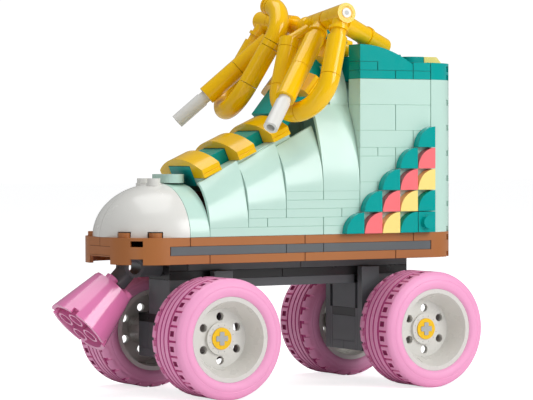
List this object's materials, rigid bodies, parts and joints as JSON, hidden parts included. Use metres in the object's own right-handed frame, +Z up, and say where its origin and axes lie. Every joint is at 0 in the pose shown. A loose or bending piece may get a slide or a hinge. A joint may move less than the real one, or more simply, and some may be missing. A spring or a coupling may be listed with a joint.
{
  "type": "toy roller skate",
  "caption": "Brick-built toy roller skate: high boot with a tied bow, sole plate, two wheel trucks that roll, and a toe stop. Display piece and small holder.",
  "frame": {"origin": "on the floor, at the middle of the footprint of the whole skate", "axes": "+X towards the heel, -X towards the toe, -Y to the wearer's left, +Z up"},
  "size_m": [0.1612, 0.079, 0.1476],
  "materials": {
    "aqua_plastic": "smooth, glossy",
    "white_plastic": "smooth, glossy",
    "brown_plastic": "smooth, satin",
    "dark_red_plastic": "smooth, satin",
    "dark_grey_plastic": "smooth, satin",
    "black_plastic": "smooth, satin",
    "teal_plastic": "smooth, glossy",
    "coral_plastic": "smooth, glossy",
    "pale_yellow_plastic": "smooth, glossy",
    "lace_yellow_plastic": "smooth, glossy",
    "pink_plastic": "smooth, glossy",
    "pink_tyre": "soft rubber, satin",
    "rim_plastic": "smooth, glossy",
    "light_grey_plastic": "smooth, satin"
  },
  "bodies": {
    "boot": {"sole_base": "brown_plastic", "sole_end_plates": "brown_plastic", "sole_deck": "brown_plastic", "sole_edge_tiles": "dark_grey_plastic", "sole_core": "dark_red_plastic", "insole_tiles": "dark_red_plastic", "toe_cap_left": "white_plastic", "toe_cap_right": "white_plastic", "toe_band": "aqua_plastic", "toe_bridge_tile": "aqua_plastic", "vamp_panels_left": "aqua_plastic", "vamp_panels_right": "aqua_plastic", "vamp_wall_plates": "aqua_plastic", "instep_core": "dark_red_plastic", "vamp_wedge_plates": "aqua_plastic", "tongue_ridge": "teal_plastic", "tongue_upper": "teal_plastic", "lace_arches": "lace_yellow_plastic", "shaft_bricks_left": "aqua_plastic", "shaft_bricks_right": "aqua_plastic", "heel_bricks": "aqua_plastic", "mosaic_tiles_teal": "teal_plastic", "mosaic_tiles_coral": "coral_plastic", "mosaic_tiles_yellow": "pale_yellow_plastic", "mosaic_stud_plates": "teal_plastic", "collar_plates": "teal_plastic", "collar_slopes": "teal_plastic", "heel_tab_plate": "teal_plastic", "heel_tab_tip": "pale_yellow_plastic", "chassis_top_plate": "dark_grey_plastic", "chassis_middle_plate": "black_plastic", "chassis_lower_plate": "dark_grey_plastic", "truck_wall_bricks": "dark_grey_plastic", "truck_spacer_plates": "black_plastic", "truck_bearing_bricks": "dark_grey_plastic", "truck_keeper_plates": "dark_grey_plastic", "truck_brackets": "dark_grey_plastic", "truck_side_panels": "dark_grey_plastic", "toe_stop_elbow": "dark_grey_plastic", "toe_stop_rods": "light_grey_plastic", "toe_stop": "pink_plastic", "knot_hub": "lace_yellow_plastic"},
    "front_wheels": {"front_axle": "light_grey_plastic", "front_left_rim": "rim_plastic", "front_right_rim": "rim_plastic", "front_left_tyre": "pink_tyre", "front_right_tyre": "pink_tyre", "front_hub_bushes": "lace_yellow_plastic"},
    "rear_wheels": {"rear_axle": "light_grey_plastic", "rear_left_rim": "rim_plastic", "rear_right_rim": "rim_plastic", "rear_left_tyre": "pink_tyre", "rear_right_tyre": "pink_tyre", "rear_hub_bushes": "lace_yellow_plastic"},
    "loop_left": {"loop_left": "lace_yellow_plastic"},
    "loop_right": {"loop_right": "lace_yellow_plastic"},
    "lace_left": {"lace_end_left": "lace_yellow_plastic", "aglet_left": "white_plastic"},
    "lace_right": {"lace_end_right": "lace_yellow_plastic", "aglet_right": "white_plastic"}
  },
  "joints": [
    {"name": "front_wheels_spin", "type": "hinge", "parent": "boot", "child": "front_wheels", "pos_m": [-0.03131, 0, 0.0216], "axis": [0, 1, 0], "continuous": true},
    {"name": "rear_wheels_spin", "type": "hinge", "parent": "boot", "child": "rear_wheels", "pos_m": [0.05669, 0, 0.0216], "axis": [0, 1, 0], "continuous": true},
    {"name": "loop_left_lift", "type": "hinge", "parent": "boot", "child": "loop_left", "pos_m": [0.02459, 0, 0.135], "axis": [0.0697, 0.9906, -0.1174], "range_deg": [0, 30]},
    {"name": "loop_right_lift", "type": "hinge", "parent": "boot", "child": "loop_right", "pos_m": [0.02459, 0, 0.135], "axis": [-0.0697, 0.9906, 0.1174], "range_deg": [0, 30]},
    {"name": "lace_left_lift", "type": "hinge", "parent": "loop_left", "child": "lace_left", "pos_m": [0.02459, 0, 0.135], "axis": [0.0697, 0.9906, -0.1174], "range_deg": [0, 30]},
    {"name": "lace_right_lift", "type": "hinge", "parent": "loop_right", "child": "lace_right", "pos_m": [0.02459, 0, 0.135], "axis": [-0.0697, 0.9906, 0.1174], "range_deg": [0, 30]}
  ]
}
